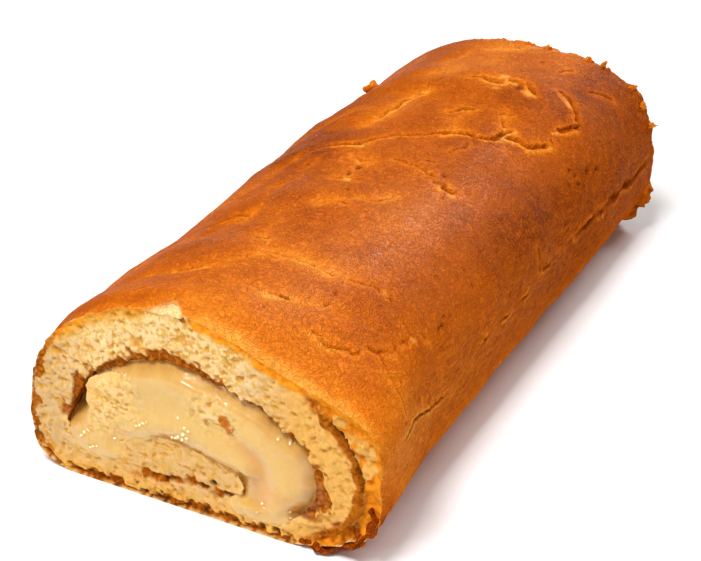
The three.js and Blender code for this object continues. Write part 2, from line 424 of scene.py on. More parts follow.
def flat_path(path):
    degrees, share = np.array(path, dtype=float).T
    return np.column_stack([around_of(degrees), FRONT + share * LENGTH])


def close_to(flat, line, reach):
    """Which places lie within reach of the box round a line."""
    inside = (flat > line.min(axis=0) - reach) & (flat < line.max(axis=0) + reach)
    return np.flatnonzero(np.all(inside, axis=1))


def nearest_of(flat, paths, reach):
    """Distance to the nearest of some paths, worked out only within reach of each."""
    nearest = np.full(len(flat), FAR)
    for path in paths:
        line = flat_path(path)
        close = close_to(flat, line, reach)
        nearest[close] = np.minimum(nearest[close], near_line(flat[close], line))
    return nearest


PITS = np.column_stack([
    chance.uniform(around_of(5), around_of(175), PIT_COUNT),
    chance.uniform(FRONT + PIT_MARGIN, BACK - PIT_MARGIN, PIT_COUNT),
    chance.uniform(0.35, 0.7, PIT_COUNT),
])


def inside_spots(flat, spots, stretch=1.0):
    """How far inside the nearest of some spots, stretched along the roll, each place lies, 0 to 1."""
    depth = np.zeros(len(flat))
    for around, along, radius in spots:
        close = np.max(np.abs(flat - (around, along)), axis=1) < 2 * radius * stretch
        away = np.hypot((flat[close, 0] - around) * stretch, (flat[close, 1] - along) / stretch) / radius
        depth[close] = np.maximum(depth[close], fade(away, 0.4, 1.2))
    return depth


def spots_on_skin(spots):
    degrees, share, radius = np.array(spots).T
    return np.column_stack([around_of(degrees), FRONT + share * LENGTH, radius])


def near_cracks(flat):
    """Distance to the nearest crack, half of its width, and whether a place lies on its front side."""
    away = np.full(len(flat), FAR)
    half = np.full(len(flat), 0.5)
    front = np.zeros(len(flat))
    for width, path in CRACKS:
        line = flat_path(path)
        close = close_to(flat, line, 12)
        distance, side = path_distance(flat[close], line)
        nearer = distance - width < away[close] - half[close]
        away[close[nearer]] = distance[nearer]
        half[close[nearer]] = width
        front[close[nearer]] = side[nearer] > 0
    return away, half, front


def crust_marks(flat):
    """How near each place of the flat skin is to the marks, with ragged edges."""
    wander = np.column_stack([layered(flat, 7, 31), layered(flat, 7, 41)])
    ragged = flat + 0.7 * wander + 0.3 * sway(flat, 1.4, 51)
    torn = ragged + 0.45 * sway(flat, 1.1, 53)
    away, half, front = near_cracks(ragged)
    return SimpleNamespace(
        to_valley=nearest_of(ragged, VALLEYS, 14),
        to_crack=away,
        half=half,
        front=front,
        to_seam=nearest_of(ragged, [SEAM], 10),
        hole=inside_spots(torn, spots_on_skin(HOLES_IN_CRUST), HOLE_STRETCH),
        pale=inside_spots(ragged, spots_on_skin(PALE_BITS)),
        pit=inside_spots(flat, PITS),
    )


def torn_notch(degrees, y):
    """Where the crust is torn off the top of the front cut."""
    along = y - FRONT
    place = np.column_stack([degrees, y])
    right = 92 + 0.9 * along + 0.5 * noise(place, 2.6, 37)
    left = 104 - 1.2 * along + 0.8 * noise(place, 3, 38)
    deep = fade(along + 0.5 * noise(place, 3, 39), 2.8, 3.8)
    return ramp(degrees - right, 0, 0.7) * ramp(left - degrees, 0, 3) * deep


def crust_features(flat):
    """Where each place of the skin lies and how much of each feature it carries."""
    at = crust_marks(flat)
    at.degrees, at.y = degrees_of(flat[:, 0]), flat[:, 1]
    at.along = at.y - FRONT
    at.share = at.along / LENGTH
    at.points, at.outward = skin_point(at.degrees, at.y)
    at.pillow = layered(at.points * (1, 0.6, 1), 26, 3, 2)
    at.dimple = layered(at.points, 9, 5, 2)
    at.patchy = 0.7 + 0.6 * noise(at.points, 9, 9)
    at.valley = bump(at.to_valley, 0, 4.5)
    at.vein = bump(at.to_valley, 0, 0.9) * at.patchy
    at.wide = ramp(at.half, 0.3, 1.0)
    broken = ramp(noise(at.points, 3.0, 13), -0.5, 0.2)
    at.groove = fade(at.to_crack / at.half, 0.7, 1.35) * (0.35 + 0.65 * np.maximum(broken, at.wide))
    at.lip = bump(at.to_crack - 1.2 * at.half, 0.9, 1.0) * (0.3 + 0.7 * at.front)
    at.halo = bump(at.to_crack, 0, 4.5) * (0.3 + 0.7 * at.wide)
    at.pale *= 1 - at.hole
    gash = 0.35 + 1.1 * ramp(at.share, 0.55, 0.75)
    torn = ramp(noise(at.points * (1, 0.4, 1), 3.4, 15), -0.1 * ramp(at.share, 0.4, 0.75), 0.4)
    at.seam = fade(at.to_seam / gash, 0.4, 1.2) * torn
    at.seam_lip = bump(at.to_seam - gash, 0.6, 0.9) * (0.3 + 0.7 * torn)
    at.notch = torn_notch(at.degrees, at.y)
    at.foot = fade(at.along, 2, 16) * fade(at.degrees, -8, 14)
    at.flap_rim = ramp(at.degrees, 12, 28) * fade(at.degrees, 78, 90)
    return at


def crust_lift(at):
    """How far the crust stands out of the plain skin, nothing near the underside."""
    points, degrees, along = at.points, at.degrees, at.along
    lengthwise = points * (1, 0.5, 1)
    lift = 0.6 * at.pillow + 0.3 * at.dimple + 0.1 * noise(points, 2.6, 25)
    lift += -0.6 * at.valley - 0.5 * at.vein - 0.55 * at.halo
    lift += -(0.3 + 0.8 * at.half) * at.groove + 0.35 * bump(at.to_crack - at.half, 0.8, 0.6) * at.wide
    lift += -1.3 * at.hole - 0.9 * at.seam + 0.4 * at.seam_lip - 0.4 * at.pit
    lift += -1.0 * at.notch + 0.5 * bump(degrees, 91 + 0.9 * along, 1.2) * fade(along, 3, 6)
    lift += at.foot * 1.3 * layered(points, 5, 23)
    lift += 0.6 * layered(lengthwise, 2.4, 57) * fade(along, 0, 3) * ramp(degrees, 105, 120)
    rounded = 1 - np.sqrt(1 - 0.95 * np.clip(1 - along / CUT_ROUND, 0, 1) ** 2)
    lift -= (0.45 + 1.0 * at.flap_rim) * rounded
    far_rim = ramp(at.y - BACK, -5, -0.5) * ramp(degrees, 0, 12)
    lift += far_rim * (0.4 + 1.1 * layered(lengthwise, 3.6, 29))
    return lift * ramp(points[:, 2], 0.5, 7)


def crust_bake_and_shade(at, points):
    """How far each place is browned, from 0 for pale to 1 for burnt, with painted shade that darkens the
    right side and the left flank.
    """
    degrees, share = at.degrees, at.share
    fresh = fade(at.along, 0, 34 + 16 * bump(degrees, 30, 30))
    rim = fade(at.along + 1.2 * noise(points, 4, 33), 0.3, 4.2)
    rim *= ramp(degrees, 20, 40) * fade(degrees, 130, 150)
    strip = fade(degrees, -14, 5) * ramp(share, 0.1, 0.25)
    # Painted shade: darker over the right side towards the far end, and on the left flank
    shaded = 0.2 * ramp(share, 0.25, 0.75) * fade(degrees, 55, 95) + 0.12 * ramp(degrees, 95, 125)
    bake = 0.60 + shaded + (0.18 * at.pillow + 0.08 * at.dimple) * ramp(degrees, 0, 70)
    bake += -0.16 * at.valley - 0.14 * at.vein - 0.15 * at.halo
    bake += -(0.15 + 0.35 * at.wide) * at.lip - 0.3 * at.seam_lip
    bake += -0.28 * fresh * (1 - 0.5 * ramp(degrees, 92, 108)) - 0.14 * strip
    bake += 0.35 * at.foot - (0.18 + 0.17 * at.flap_rim) * rim
    bake += -0.14 * ramp(share, 0.7, 0.88) * ramp(degrees, 55, 75) * fade(degrees, 100, 115)
    for change, at_degrees, reach, at_share, reach_along in TONE_PATCHES:
        bake += change * bump(degrees, at_degrees, reach) * bump(share, at_share, reach_along)
    for change, at_degrees, reach, start, end in DARKER_STRIPES:
        bake += change * bump(degrees, at_degrees, reach) * ramp(share, *start) * fade(share, *end)
    return np.clip(np.clip(bake, 0.05, 0.86) - 0.4 * at.pale, 0, 1)


def crust_gloss(at):
    """How much each place shines, most along the brow that faces the light."""
    degrees, share = at.degrees, at.share
    gloss = 0.05 * ramp(degrees, -10, 10) + 0.95 * ramp(degrees, 25, 55)
    gloss *= (1 - 0.9 * ramp(degrees, 92, 118)) * (1 - at.groove) * (1 - 0.6 * at.halo)
    gloss *= 1 - 0.7 * ramp(share, 0.5, 0.7) * fade(share, 0.74, 0.86)
    brow = degrees - 77 + 26 * share
    sheen = bump(brow, 0, np.where(brow > 0, 12, 10)) * ramp(share, 0.02, 0.1) * fade(share, 0.4, 0.55)
    sheen += 0.5 * bump(degrees, 68, 7) * bump(share, 0.61, 0.06)
    sheen += 0.2 * ramp(share, 0.76, 0.86) * ramp(degrees, 55, 70)
    return gloss * (0.25 + 1.4 * np.clip(sheen, 0, 1))


def crust_surface(flat):
    """Points of the finished crust with what colours it."""
    at = crust_features(flat)
    points = at.points + at.outward * crust_lift(at)[:, None]
    points[:, 2] = np.maximum(points[:, 2], 0)
    # Darker in the cracks, the seam, the holes and the pits: partly the crust's own colour there, partly
    # painted shade in these hollows
    dark = most(0.66 * at.groove * np.clip(at.patchy, 0, 1.1), 0.9 * at.seam,
                at.hole * np.where(at.degrees < 15, 1, 0.84), 0.6 * at.pit)
    return points, {
        "bake": crust_bake_and_shade(at, points),
        "dark": np.clip(dark, 0, 1),
        "bare": np.clip(at.notch + 0.06 * at.pale, 0, 1),
        "gloss": crust_gloss(at),
        "pleat": bump(at.degrees, 8, 15) * (1 - 0.5 * ramp(at.share, 0.5, 0.8)) * ramp(at.share, 0, 0.1),
    }


def crust_mesh(rim_around, rim_along):
    """The skin laid out flat, triangulated with more points near the marks, and wrapped round."""
    low, high = np.array([0, FRONT]), np.array([GIRTH, BACK])

    def spread(pitch):
        """Points over the whole skin, clear of its rim."""
        points = scatter(low, high, pitch)
        return points[np.all((points > low + SKIN_CLEAR) & (points < high - SKIN_CLEAR), axis=1)]

    def marked(points, more):
        """Places near a mark, by how far its shape reaches."""
        marks = crust_marks(points)
        near = marks.to_crack - marks.half < 1.2 + more
        near |= (marks.to_seam < 2.2 + more) | (marks.to_valley < 0.9 + more)
        near |= most(marks.hole, marks.pale, marks.pit) > 0
        return near | (torn_notch(degrees_of(points[:, 0]) + 0.5, points[:, 1]) > 0.01)

    fine, coarse, plain = (spread(pitch) for pitch in (CRACK_PITCH, SKIN_PITCH, PLAIN_PITCH))
    right, left = around_of(PLAIN_RIGHT), around_of(PLAIN_LEFT)
    coarse = coarse[(coarse[:, 0] > right) & (coarse[:, 0] < left)]
    plain = plain[(plain[:, 0] < right) | (plain[:, 0] > left)]
    fill = np.vstack([coarse, plain])
    along = rim_along[1:-1]
    loop = np.vstack([
        np.column_stack([rim_around, np.full(len(rim_around), FRONT)]),
        np.column_stack([np.full(len(along), GIRTH), along]),
        np.column_stack([rim_around, np.full(len(rim_around), BACK)])[::-1],
        np.column_stack([np.zeros(len(along)), along])[::-1],
    ])
    flat, faces = triangulate(np.vstack([fine[marked(fine, 0)], fill[~marked(fill, 0.3)]]), [loop])
    points, colour = crust_surface(flat)
    return points, faces, colour


# Cut faces: paths and loops of (x, z), seen from the front

# The two edges of the ragged brown fringe under the ring: where the crumb ends and where the filling begins
FRINGE_HIGH = [
    (-47.2, 19.5), (-46, 27), (-42.8, 33), (-38.2, 39.4), (-31.2, 44.2), (-21, 49.6), (-12, 52.8),
    (-4, 53.2), (3.6, 51), (12.3, 47.4), (22.6, 44.2), (30, 39.1), (37.6, 34.9), (40.2, 29), (43.2, 22.5),
    (42.4, 15), (38, 11.4),
]
FRINGE_LOW = [
    (-46, 20), (-44.2, 25.5), (-40.8, 31), (-38.2, 35.6), (-34.6, 39.2), (-29, 42.8), (-20, 47.2),
    (-12, 49.9), (-3, 50.2), (3.4, 48.6), (12, 46.2), (22, 43.4), (29, 38.6), (36, 34.4), (38.8, 28.5),
    (39.4, 21), (37.6, 15.5), (33, 10.4),
]

# The lower edge of the filling from right to left, over the tip of the sheet
TONGUE_TOP = [(15.2, 12), (15.2, 16), (13, 18.8), (9, 20.6), (3, 22.2), (-3, 23.8), (-9, 24.4), (-15, 23.2)]
LOWER_EDGE = [
    (30.5, 8.6), (27, 6.4), (20, 5.2), (13.5, 5.6), (11.5, 7.6), (13, 9.6), *TONGUE_TOP, (-21, 21),
    (-26, 18.6), (-28, 15.5), (-27.5, 12.6), (-31, 10.6), (-37, 10), (-43, 11.6),
]

# The brown line under the tip of the sheet, and its dark holes: x, z, radius
GAP = [(15.4, 10.4), (11, 10), (7, 9.7), (3, 10.2), (-1, 11), (-4, 10.4), (-8, 9.2), (-12, 8.4), (-16, 8.2),
       (-19, 8.6)]
HOLES = [(5, 12.6, 1.1), (9.4, 10.2, 1.0), (2.6, 10.4, 0.7), (-11.6, 8.6, 0.9)]

# The end of the innermost turn, and the two patches where it shows through the filling
INNER_TURN = [
    (-38.6, 29), (-37, 36), (-29, 41), (-18, 43.6), (-6, 44.6), (6, 42.6), (15.5, 37), (21.5, 28),
    (21, 18), (15, 12.6), (9, 14.5), (11, 21), (8.5, 28), (1, 32), (-10, 32), (-20, 28.5), (-28, 22.6),
    (-36, 21.4),
]
SHOWING = [
    [(-39.5, 30), (-37.6, 36), (-33, 39.4), (-28, 40.4), (-22, 39.4), (-20, 34), (-22, 28), (-26.5, 24.4),
     (-31, 22.8), (-37, 21), (-38.4, 25.5)],
    [(0.5, 36.4), (2.5, 41.4), (7.5, 41), (12.5, 38), (13, 34), (6.5, 33.4)],
]

# The slit between the ring and the flap at the right, the fold at its top, and crumb that shows on the flap
CREVICE = [(34, 57), (38, 52.4), (41.6, 48), (45.5, 43.4), (49.4, 38.6), (52.4, 33.4), (54.2, 28), (54.4, 23),
           (53, 17.5), (50, 12.6), (46, 8.6), (41, 5.4), (36, 2.6)]
FLAP_FOLD = [(33.5, 56.5), (36.5, 53), (39.5, 48.6), (43, 45)]
FLAP_CRUMB = [(46.8, 46, 2.4), (54, 38.4, 3.6), (55.6, 33, 2.8)]
FALLEN_BIT = (-2.6, 66.2, 1.3)  # a bit of crust in the torn notch

# Large pores in the crumb of a cut: x, z, radius
LARGE_PORES = [(-20.5, 62.6, 1.9), (-26, 61.6, 1.3), (-48.2, 43.4, 2.0), (-38.5, 54, 1.2), (15.8, 52, 1.6),
               (24.6, 48.4, 1.1), (-35, 58.6, 1.0), (-9, 5, 1.3), (-30, 6.5, 1.0), (-27, 48.4, 1.0),
               (-49.5, 29, 1.0), (48.5, 24, 1.1), (33, 45.5, 1.0)]
SMALL_PORES = 1000

# Ridges and creases of the filling, the fold painted with shade, and bits of crust on the patches of the
# innermost turn
UPPER_RIDGE = [(-27, 42), (-14, 45), (0, 44.4), (14, 40), (25, 33), (31, 24), (29, 13)]
LOWER_RIDGE = [(-21, 25), (-13, 28.4), (-4, 29.4), (7, 26), (18, 23.5)]
CREASE = [(8, 33), (16, 30.5), (21.5, 25), (23, 18), (22, 12)]
SHADED_FOLD = [(14, 31), (19, 28), (22.5, 22), (22, 13)]
CRUST_BITS = [(11.6, 36.6, 2.2), (12.6, 34, 1.8), (4.8, 34.6, 1.1), (6, 41.6, 0.8)]
FILLING_SEEDS = {-1: 701, 1: 801}  # for the front and the back cut


def ragged_loop(points, spacing, seed):
    """A smooth loop through points, roughened."""
    loop = smooth_loop(points, spacing)
    return grow_loop(loop, 0.45 * noise(loop, 3.2, seed) + 0.35 * noise(loop, 1.3, seed + 1))


hollow_loop = ragged_loop(FRINGE_LOW + LOWER_EDGE, 0.6, 61)
inner_loop = ragged_loop(INNER_TURN, 0.8, 65)


def pore_depth(spots, seed):
    """Depth of the pores of the crumb."""
    picks = np.random.default_rng(seed)
    pores = np.column_stack([
        picks.uniform(-60, 60, SMALL_PORES),
        picks.uniform(1, 70, SMALL_PORES),
        0.26 + 0.9 * picks.random(SMALL_PORES) ** 3,
    ])
    ragged = spots + 0.34 * sway(spots, 1.2, seed + 11)
    depth = np.zeros(len(spots))
    for x, z, radius in np.vstack([pores, LARGE_PORES]):
        tilt = 0.5 * math.sin(x * 12.9 + z * 78.2)
        across, up = ragged[:, 0] - x, ragged[:, 1] - z
        close = (np.abs(across) < 2 * radius) & (np.abs(up) < 2 * radius)
        away = np.hypot(across[close] + tilt * up[close], 1.25 * up[close]) / radius
        depth[close] = np.maximum(depth[close], radius * 1.2 * fade(away, 0.25, 1.15))
    cavity = ramp(layered(ragged * (1, 1.2), 1.9, seed + 21), 0.35, 0.95)
    return np.maximum(depth, 0.85 * cavity)


def within(spots, circles, wobble):
    """How far inside the nearest of some ragged circles each spot lies, 0 to 1."""
    x, z = spots.T
    away = [np.hypot(x - at_x, z - at_z) / radius for at_x, at_z, radius in circles]
    return fade(np.min(away, axis=0) + wobble, 0.6, 1.2)


def cut_marks(spots, outline, seed):
    """The noises and distances that the features of a cut share."""
    at = SimpleNamespace(spots=spots, seed=seed)
    at.x, at.z = spots.T
    at.ragged = noise(spots, 1.4, seed + 7)
    at.lumps = noise(spots, 3.2, seed + 8)
    at.rough = at.lumps + at.ragged
    at.wobble = 0.7 * at.ragged + 0.9 * at.lumps
    at.pores = pore_depth(spots, seed)
    at.edge = near_loop(spots, outline)
    return at


def add_fringe(at):
    """The browned fringe under the ring, smudges above it and the brow of crumb over it."""
    x, z = at.x, at.z
    away, side = path_distance(at.spots, FRINGE_HIGH)
    above = away * side - 0.1 + (0.9 + 0.5 * ramp(x, 32, 36)) * at.ragged
    above += (1.5 + 1.5 * ramp(x, 34, 40) + ramp(-x, 28, 36)) * at.lumps
    ends = np.where(x < 0, ramp(z, 19, 22), ramp(z, 9, 12))
    at.fringe = fade(above, -0.5, 0.3) * fade(away, 4.5, 6)
    at.fringe *= ends * (0.75 + 0.25 * ramp(at.rough, -0.8, 0.3))
    at.smudge = ramp(noise(at.spots, 1.3, at.seed + 9), 0.0, 0.6) * fade(above, 0.3, 3.6)
    at.smudge *= ends * (away < 8)
    at.overhang = bump(above, 1.2, 0.9) * (1 - at.fringe)


def add_flap(at):
    """The flap at the right, the slit and fold behind it, and the skin of the ring inside them."""
    crevice, outside = path_distance(at.spots, CREVICE)
    at.flap = ramp(crevice * outside, 0, 0.8)
    at.ring_skin = (1 - at.flap) * fade(crevice + 1.2 * at.wobble, 1.2, 2.6)
    at.slot = fade(crevice + 0.2 * at.ragged, 0.1, 0.5) * ramp(at.z, 24, 29) * fade(at.z, 43, 47)
    at.fold = bump(near_line(at.spots, FLAP_FOLD), 0, 1.5) * (0.7 + 0.4 * at.lumps)
    at.flap_crumb = at.flap * within(at.spots, FLAP_CRUMB, 0.5 * at.wobble)


def add_bottom(at):
    """The lowest layer: the brown line and holes in it, burnt crumb, crumb browned at the lower right with
    painted shadow, stains, the wet tip.
    """
    spots, x, z, wobble = at.spots, at.x, at.z, at.wobble
    at.gap = fade(near_line(spots, GAP) + 1.1 * wobble, 0.6, 1.8)
    at.gap *= 1 - 0.6 * ramp(noise(spots, 4, at.seed + 16), 0.2, 0.6)
    at.holes = within(spots, HOLES, 0.25 * at.ragged)
    burnt = fade(z + 1.6 * wobble, 1.1, 2.8)
    at.specks = ramp(noise(spots, 1.5, at.seed + 15), 0.3, 0.6) * fade(z, 1.8, 5.0)
    at.heel = fade(at.edge + 1.2 * wobble, 0.5, 1.8) * fade(z, 8, 15) * (x < -30)
    scorch = bump(x, 46, 8) * bump(z, 9, 5) * ramp(at.rough, -0.4, 0.4)
    at.bottom = most(burnt, at.specks, at.heel, 0.8 * scorch)
    # Browner at the lower right: partly crumb browned there, partly painted shadow
    at.toasted = fade(at.edge + 1.5 * wobble, 3, 7) * ramp(x, 34, 42) * fade(z, 18, 28)
    at.wet_line = fade(near_line(spots, TONGUE_TOP) + 0.3 * at.ragged, 0.3, 1.1)
    at.wet_line *= ramp(x, -14, -9) * fade(x, 11, 14)
    at.stain = bump(x, -20, 8) * bump(z, 6.8, 2.4) + bump(x, -17, 4) * bump(z, 21.5, 1.6)
    at.stain *= ramp(at.rough, -0.6, 0.6)


def add_rind(at):
    """The browned skin round the edge, thick at the left and the top, missing under the torn notch."""
    x, z, edge = at.x, at.z, at.edge
    at.left = ramp(-x, 40, 52) * fade(z, 44, 56)
    high = ramp(z, 40, 56)
    thick = 1 + 0.9 * at.left + 0.8 * ramp(x, -6, 8) * (z > 40)
    inward = edge + (1.4 + 0.9 * at.left) * at.wobble * ramp(edge, 0, 0.8)
    at.under_notch = fade(np.abs(x + 8), 6, 9) * (z > 60)
    at.rind = fade(inward / thick, 0.5 + 0.5 * high, 1.5 + 0.8 * high)
    at.rind *= ramp(z, 3, 7) * (1 - 0.8 * at.heel) * (1 - at.under_notch)


def face_depth(at):
    """How far the cut sponge lies behind the cut plane."""
    grain = layered(at.spots, 1.8, at.seed, 2)
    chunks = layered(at.spots, 4.5, at.seed + 5)
    depth = 0.4 + 0.33 * grain + 0.6 * at.pores * (1 - 0.6 * at.fringe)
    depth += at.fringe * (0.5 + 0.6 * at.ragged) - 0.35 * at.overhang
    depth += at.gap * (0.9 + 0.5 * at.lumps) + 1.6 * at.holes
    depth += 1.2 * at.bottom * (1 + 0.6 * at.ragged) + 0.6 * at.wet_line
    depth -= 0.3 * at.rind * (1 - at.left) * fade(at.x, -4, 6)
    depth += 4 * at.slot + 0.9 * at.fold + 0.4 * at.ring_skin * at.lumps
    depth += at.flap * (0.5 + 1.6 * ramp(at.edge, 0.6, 4.0) + 1.0 * chunks) - 0.4 * at.flap_crumb
    return depth


def face_colour(at):
    """What colours the cut sponge."""
    x, z, flap, lumps = at.x, at.z, at.flap, at.lumps
    # Painted shade: the lower part of the flap drawn browner
    shade = 0.6 * flap * fade(z, 20, 31)
    brown = most(at.fringe, 0.7 * at.smudge, at.gap, at.bottom, 0.8 * at.fold, 0.9 * at.toasted, shade)
    # Darker in the holes of the gap and in the slit, painted shade there, and on burnt specks and lumps of
    # the gap and the fringe
    dark = most(at.holes, at.specks, at.slot, 0.6 * at.gap * ramp(lumps, 0.1, 0.5),
                0.5 * at.fringe * ramp(lumps, 0, 0.6))
    torn = flap * (1 - at.flap_crumb) * (1 - 0.8 * ramp(lumps, 0.3, 0.7) * fade(z, 40, 46))
    fallen = within(at.spots, [FALLEN_BIT], 0.2 * at.ragged)
    crusty = most(at.rind, 0.95 * at.ring_skin, torn, 0.75 * at.wet_line, 0.6 * at.stain, fallen)
    crusty *= 1 - 0.75 * at.toasted * ramp(lumps, -0.5, 0.3)
    within_ring = 1 - at.ring_skin
    gold = most(
        0.9 * fade(z, 2, 10) * fade(x, 34, 42),
        (1 - at.under_notch) * fade(at.edge + 0.5 * at.wobble, 2.4, 4.6) * ramp(z, 38, 54),
        flap * (0.25 + 0.6 * ramp(z, 30, 44)),
        0.75 * ramp(x, 18, 36) * within_ring,
        0.3 * fade(z, 20, 50) * ramp(x, -50, -30) * within_ring,
    )
    return {
        "brown": ramp(brown, 0.15, 0.8),
        "crusty": ramp(crusty, 0.15, 0.8),
        "soaked": fade(near_loop(at.spots, hollow_loop) + at.wobble, 0.3, 3.2) * fade(z, 22, 27),
        "gold": np.clip(gold, 0, 1),
        "dark": np.clip(dark, 0, 1),
        # Painted shade: the crumb drawn darker at the left of the ring, towards the bottom and towards the
        # right
        "dim": most(ramp(-x, 30, 52) * fade(z, 44, 60), 0.9 * fade(z, 14, 30), 0.85 * ramp(x, 6, 30)),
        # Painted shade in the pores of the crumb
        "pore": 0.9 * ramp(at.pores, 0.15, 0.75),
    }


def face_mesh(rim, facing, pitch, seed):
    """One cut face of the sponge, from its outer rim to the hollow."""
    outline = rim[:, [0, 2]]
    spots = scatter(outline.min(axis=0), outline.max(axis=0), pitch)
    spots = spots[inside_loop(spots, outline) & ~inside_loop(spots, hollow_loop)]
    clear = np.minimum(near_loop(spots, outline), near_loop(spots, hollow_loop))
    flat, faces = triangulate(spots[clear > CUT_CLEAR * pitch], [outline, hollow_loop])
    at = cut_marks(flat, outline, seed)
    for add in (add_fringe, add_flap, add_bottom, add_rind):
        add(at)
    points = stand_up(flat, facing * (BACK - face_depth(at)))
    points[:len(rim)] = rim
    hole = points[len(rim):len(rim) + len(hollow_loop)]
    return points, orient(points, faces, 1, facing), face_colour(at), hole


def stand_up(flat, y):
    """Flat places of a cut, stood up at y."""
    return np.column_stack([flat[:, 0], np.broadcast_to(y, len(flat)), flat[:, 1]])


def behind_cuts(depths):
    """Where some depths behind the front cut and the back cut lie along the roll."""
    depths = np.array(depths)
    return np.concatenate([FRONT + depths, BACK - depths[::-1]])


def orient(points, faces, axis, facing):
    """The faces turned so that they look along an axis."""
    a, b, c = (points[faces[:, k]] for k in range(3))
    normal = np.cross(b - a, c - a)[:, axis]
    faces = faces.copy()
    wrong = normal * facing < 0
    faces[wrong] = faces[wrong][:, ::-1]
    return faces


def band(rows):
    """Points and triangles of a closed tube through rows of points."""
    count = len(rows[0])
    points = np.vstack(rows)
    here = np.arange(count)
    after = (here + 1) % count
    faces = []
    for row in range(len(rows) - 1):
        a, b = row * count + here, row * count + after
        c, d = b + count, a + count
        faces += [np.column_stack([a, b, c]), np.column_stack([a, c, d])]
    return points, np.vstack(faces)


# Meshes

def finish_mesh(name, parts, materials):
    """One welded mesh from parts: points, triangles, material index and named colour values."""
    names = sorted({key for part in parts for key in part[3]})
    points = np.vstack([part[0] for part in parts]) * MM
    starts = np.cumsum([0] + [len(part[0]) for part in parts[:-1]])
    faces = np.vstack([part[1] + start for part, start in zip(parts, starts)])
    index = np.concatenate([np.full(len(part[1]), part[2]) for part in parts])
    mesh = bpy.data.meshes.new(name)
    mesh.from_pydata(points.tolist(), [], faces.tolist())
    mesh.polygons.foreach_set("material_index", index.astype(np.int32))
    for key in names:
        values = np.concatenate([part[3].get(key, np.zeros(len(part[0]))) for part in parts])
        layer = mesh.attributes.new(key, "FLOAT", "POINT")
        layer.data.foreach_set("value", values.astype(np.float32))
    for material in materials:
        mesh.materials.append(material)
    weld(mesh)
    piece = bpy.data.objects.new(name, mesh)
    bpy.context.scene.collection.objects.link(piece)
    return piece


def weld(mesh):
    """Joins the parts along their shared rims and makes edges between materials sharp."""
    work = bmesh.new()
    work.from_mesh(mesh)
    bmesh.ops.remove_doubles(work, verts=work.verts, dist=0.02 * MM)
    bmesh.ops.dissolve_degenerate(work, dist=0.001 * MM, edges=work.edges)
    bmesh.ops.recalc_face_normals(work, faces=work.faces)
    for face in work.faces:
        face.smooth = True
    for edge in work.edges:
        kinds = {face.material_index for face in edge.link_faces}
        edge.smooth = len(kinds) < 2
    work.to_mesh(mesh)
    work.free()


def base_mesh(right, left):
    """The flat underside between the two lower edges of the skin."""
    front = np.linspace(left[0], right[0], 60)[1:-1]
    back = np.linspace(right[-1], left[-1], 60)[1:-1]
    rim = np.vstack([right, back, left[::-1], front])
    loop = rim[:, :2]
    spots = scatter(loop.min(axis=0), loop.max(axis=0), BASE_PITCH)
    flat, faces = triangulate(spots[depth_in_loop(spots, loop) > 3], [loop])
    points = np.column_stack([flat, np.zeros(len(flat))])
    return points, orient(points, faces, 2, -1), front, back


# Depths behind a cut at which the walls inside the roll have points
HOLLOW_ROWS = [1.2, 2.2, 3.2, 4.4, 5.6, 7, 9, 12, 16]
TURN_ROWS = [2, 3, 4, 6, 9, 14]
FILLING_ROWS = [12, 16]


def sponge_piece(materials):
    """The rolled sponge: crust, underside, both cut faces and the hollow inside."""
    rim_around = np.linspace(0, GIRTH, int(GIRTH / ROUND_PITCH))
    rim_along = np.linspace(FRONT, BACK, int(LENGTH / EDGE_PITCH))
    points, faces, colour = crust_mesh(rim_around, rim_along)
    turns, count = len(rim_around), len(rim_along) - 2
    ends = np.cumsum([turns, count, turns, count])
    front_rim, left, back_rim, right = np.split(points[:ends[-1]], ends[:-1])
    back_rim, right = back_rim[::-1], right[::-1]
    left = np.vstack([front_rim[-1:], left, back_rim[-1:]])
    right = np.vstack([front_rim[:1], right, back_rim[:1]])
    base, base_faces, front_edge, back_edge = base_mesh(right, left)
    *front, front_hole = face_mesh(np.vstack([front_rim, front_edge]), -1, FACE_PITCH, 101)
    *back, back_hole = face_mesh(np.vstack([back_rim, back_edge[::-1]]), 1, BACK_PITCH, 301)
    rows = [front_hole]
    for y in behind_cuts(HOLLOW_ROWS):
        loop = grow_loop(hollow_loop, 0.5 + 0.7 * noise(stand_up(hollow_loop, y), 2.4, 71))
        rows.append(stand_up(loop, y))
    wall, wall_faces = band(rows + [back_hole])
    parts = [
        (points, faces, 0, colour),
        (base, base_faces, 0, {"bake": np.full(len(base), 0.9)}),
        (front[0], front[1], 1, front[2]),
        (back[0], back[1], 1, back[2]),
        (wall, wall_faces, 1, {"brown": np.ones(len(wall))}),
    ]
    return finish_mesh("sponge_roll", parts, materials)


def cap_mesh(loop, pitch, surface, facing):
    """A cut face over a whole loop, finer at the glints, with its depth worked out by a function."""
    spots = scatter(loop.min(axis=0), loop.max(axis=0), pitch)
    fine = scatter(loop.min(axis=0), loop.max(axis=0), GLINT_PITCH)
    spots = np.vstack([spots[near_glint(spots) > GLINT_REACH], fine[near_glint(fine) < GLINT_REACH]])
    flat, faces = triangulate(spots[depth_in_loop(spots, loop) > CUT_CLEAR * pitch], [loop])
    depth, colour = surface(flat, FILLING_SEEDS[facing])
    points = stand_up(flat, facing * (BACK - depth))
    return points, orient(points, faces, 1, facing), colour


def bar_piece(name, cap_loop, body_loop, pitch, surface, materials, wall_rows):
    """A filling that runs through the roll, with a worked face at each cut."""
    caps = [cap_mesh(cap_loop, pitch, surface, facing) for facing in (-1, 1)]
    front_rim, back_rim = (points[:len(cap_loop)] for points, _, _ in caps)
    wall, faces = band([front_rim, *(stand_up(body_loop, y) for y in behind_cuts(wall_rows)), back_rim])
    parts = [(points, cap_faces, 0, colour) for points, cap_faces, colour in caps]
    return finish_mesh(name, parts + [(wall, faces, 0, {})], materials)


